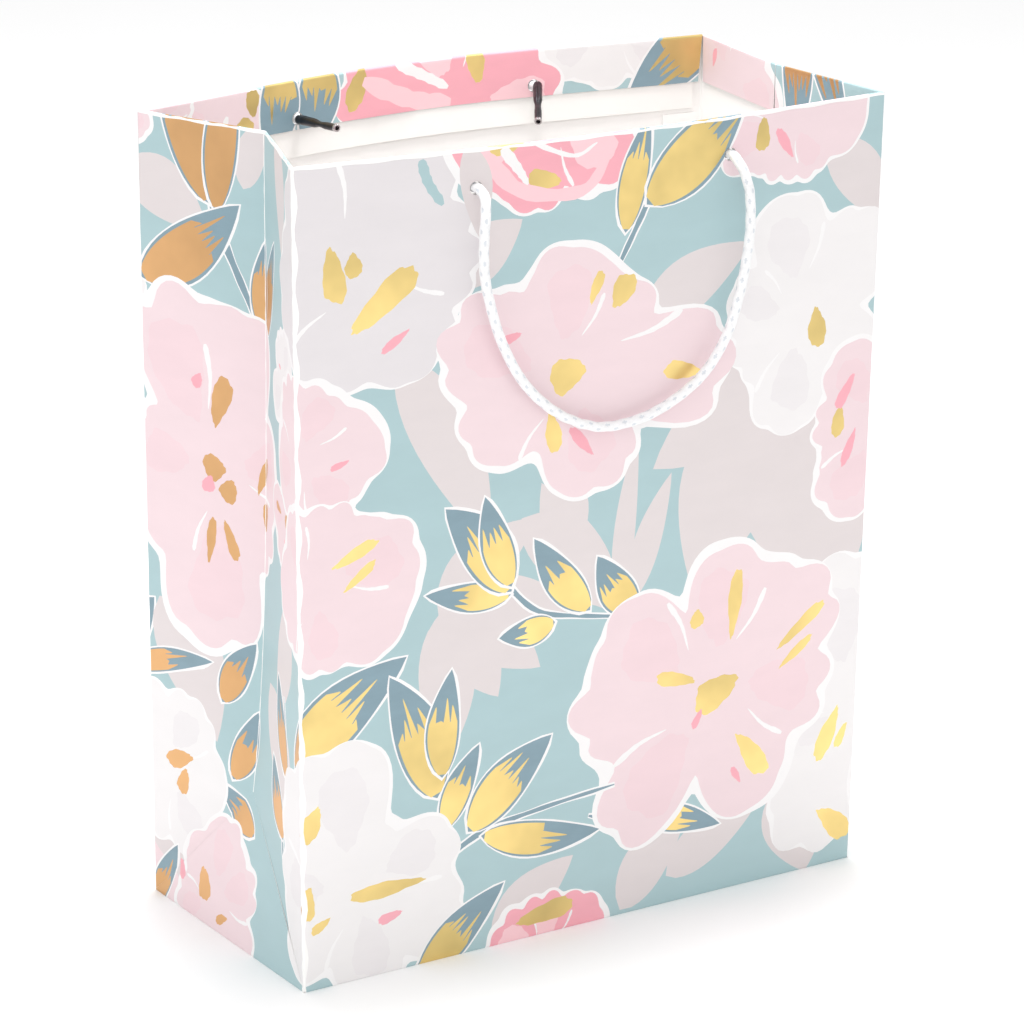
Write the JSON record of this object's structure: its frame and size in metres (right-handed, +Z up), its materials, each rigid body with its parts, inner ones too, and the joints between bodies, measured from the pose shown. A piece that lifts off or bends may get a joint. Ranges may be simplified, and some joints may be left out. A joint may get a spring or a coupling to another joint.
{
  "type": "gift bag",
  "caption": "Floral paper gift bag with folding gussets, a stiffened mouth and base, and rope handles that metal barbs hold behind punched holes.",
  "frame": {"origin": "middle of the bottom's underside, where the bag rests", "axes": "+Z up, +X to the right along the width as seen from the front, front wall faces -Y"},
  "size_m": [0.2665, 0.1561, 0.324],
  "materials": {
    "printed_paper": "satin coated art paper with a floral print and gold foil",
    "white_paper": "uncoated white back of the printed paper",
    "white_card": "matte greyboard faced in white",
    "cord": "braided white polyester cord",
    "barb_metal": "dark nickel-plated crimped steel"
  },
  "bodies": {
    "base": {"bottom_flap_back": "printed_paper", "bottom_flap_front": "printed_paper", "bottom_flap_left": "printed_paper", "bottom_flap_right": "printed_paper", "base_card": "white_card"},
    "front_wall": {"front_panel": "printed_paper", "front_rim_card": "white_card", "front_hem": "printed_paper", "front_cord_end_left": "cord", "front_cord_end_right": "cord"},
    "back_wall": {"back_panel": "printed_paper", "back_rim_card": "white_card", "back_hem": "printed_paper", "back_cord_end_left": "cord", "back_cord_end_right": "cord", "side_seam_flap": "white_paper"},
    "left_gusset_half_front": {"left_gusset_front": "printed_paper", "left_gusset_front_hem": "printed_paper"},
    "left_gusset_half_back": {"left_gusset_back": "printed_paper", "left_gusset_back_hem": "printed_paper"},
    "left_foot": {"left_gusset_foot": "printed_paper"},
    "right_gusset_half_front": {"right_gusset_front": "printed_paper", "right_gusset_front_hem": "printed_paper"},
    "right_gusset_half_back": {"right_gusset_back": "printed_paper", "right_gusset_back_hem": "printed_paper"},
    "right_foot": {"right_gusset_foot": "printed_paper"},
    "front_handle": {"front_handle_cord": "cord"},
    "front_left_barb": {"front_barb_left": "barb_metal"},
    "front_right_barb": {"front_barb_right": "barb_metal"},
    "back_handle": {"back_handle_cord": "cord"},
    "back_left_barb": {"back_barb_left": "barb_metal"},
    "back_right_barb": {"back_barb_right": "barb_metal"}
  },
  "joints": [
    {"name": "mouth_squeeze", "type": "hinge", "parent": "base", "child": "front_wall", "pos_m": [0, -0.06, 0], "axis": [-1, 0, 0], "range_deg": [0, 4], "stiffness_Nm_per_rad": 0.05},
    {"name": "back_wall_lean", "type": "hinge", "parent": "base", "child": "back_wall", "pos_m": [0, 0.06, 0], "axis": [1, 0, 0], "range_deg": [0, 4]},
    {"name": "left_gusset_front_fold", "type": "hinge", "parent": "front_wall", "child": "left_gusset_half_front", "pos_m": [-0.13, -0.06, 0], "axis": [0, -0.0154, -0.9999], "range_deg": [0, 34]},
    {"name": "left_gusset_back_fold", "type": "hinge", "parent": "back_wall", "child": "left_gusset_half_back", "pos_m": [-0.13, 0.06, 0], "axis": [-0.0108, -0.0093, 0.9999], "range_deg": [0, 34]},
    {"name": "right_gusset_front_fold", "type": "hinge", "parent": "front_wall", "child": "right_gusset_half_front", "pos_m": [0.13, -0.06, 0], "axis": [0.0062, -0.0154, 0.9999], "range_deg": [0, 43.5]},
    {"name": "right_gusset_back_fold", "type": "hinge", "parent": "back_wall", "child": "right_gusset_half_back", "pos_m": [0.13, 0.06, 0], "axis": [-0.0093, -0.0031, -1], "range_deg": [0, 43.5]},
    {"name": "left_gusset_foot_tilt", "type": "hinge", "parent": "base", "child": "left_foot", "pos_m": [-0.13, 0, 0], "axis": [0, 1, 0], "range_deg": [0, 12.6]},
    {"name": "right_gusset_foot_tilt", "type": "hinge", "parent": "base", "child": "right_foot", "pos_m": [0.13, 0, 0], "axis": [0, -1, 0], "range_deg": [0, 18.2]},
    {"name": "front_handle_swing", "type": "hinge", "parent": "front_wall", "child": "front_handle", "pos_m": [0, -0.07178, 0.309], "axis": [-0.9993, 0.0367, 0], "range_deg": [0, 170]},
    {"name": "back_handle_swing", "type": "hinge", "parent": "back_wall", "child": "back_handle", "pos_m": [0, 0.07727, 0.309], "axis": [0.9999, 0.0147, 0], "range_deg": [0, 170]},
    {"name": "front_left_barb_turn", "type": "hinge", "parent": "front_wall", "child": "front_left_barb", "pos_m": [-0.056, -0.05913, 0.309], "axis": [-1, 0, 0], "range_deg": [-8, 50]},
    {"name": "front_right_barb_turn", "type": "hinge", "parent": "front_wall", "child": "front_right_barb", "pos_m": [0.056, -0.06324, 0.309], "axis": [-1, 0, 0], "range_deg": [-8, 50]},
    {"name": "back_left_barb_turn", "type": "hinge", "parent": "back_wall", "child": "back_left_barb", "pos_m": [-0.056, 0.06585, 0.309], "axis": [1, 0, 0], "range_deg": [-8, 50]},
    {"name": "back_right_barb_turn", "type": "hinge", "parent": "back_wall", "child": "back_right_barb", "pos_m": [0.056, 0.06749, 0.309], "axis": [1, 0, 0], "range_deg": [-8, 50]}
  ],
  "couplings": [
    {"joint": "back_wall_lean", "follows": "mouth_squeeze", "ratio": 1},
    {"joint": "left_gusset_front_fold", "follows": "mouth_squeeze", "ratio": 8.5},
    {"joint": "left_gusset_back_fold", "follows": "mouth_squeeze", "ratio": 8.5},
    {"joint": "right_gusset_front_fold", "follows": "mouth_squeeze", "ratio": 10.875},
    {"joint": "right_gusset_back_fold", "follows": "mouth_squeeze", "ratio": 10.875},
    {"joint": "left_gusset_foot_tilt", "follows": "mouth_squeeze", "ratio": 3.15},
    {"joint": "right_gusset_foot_tilt", "follows": "mouth_squeeze", "ratio": 4.55}
  ]
}
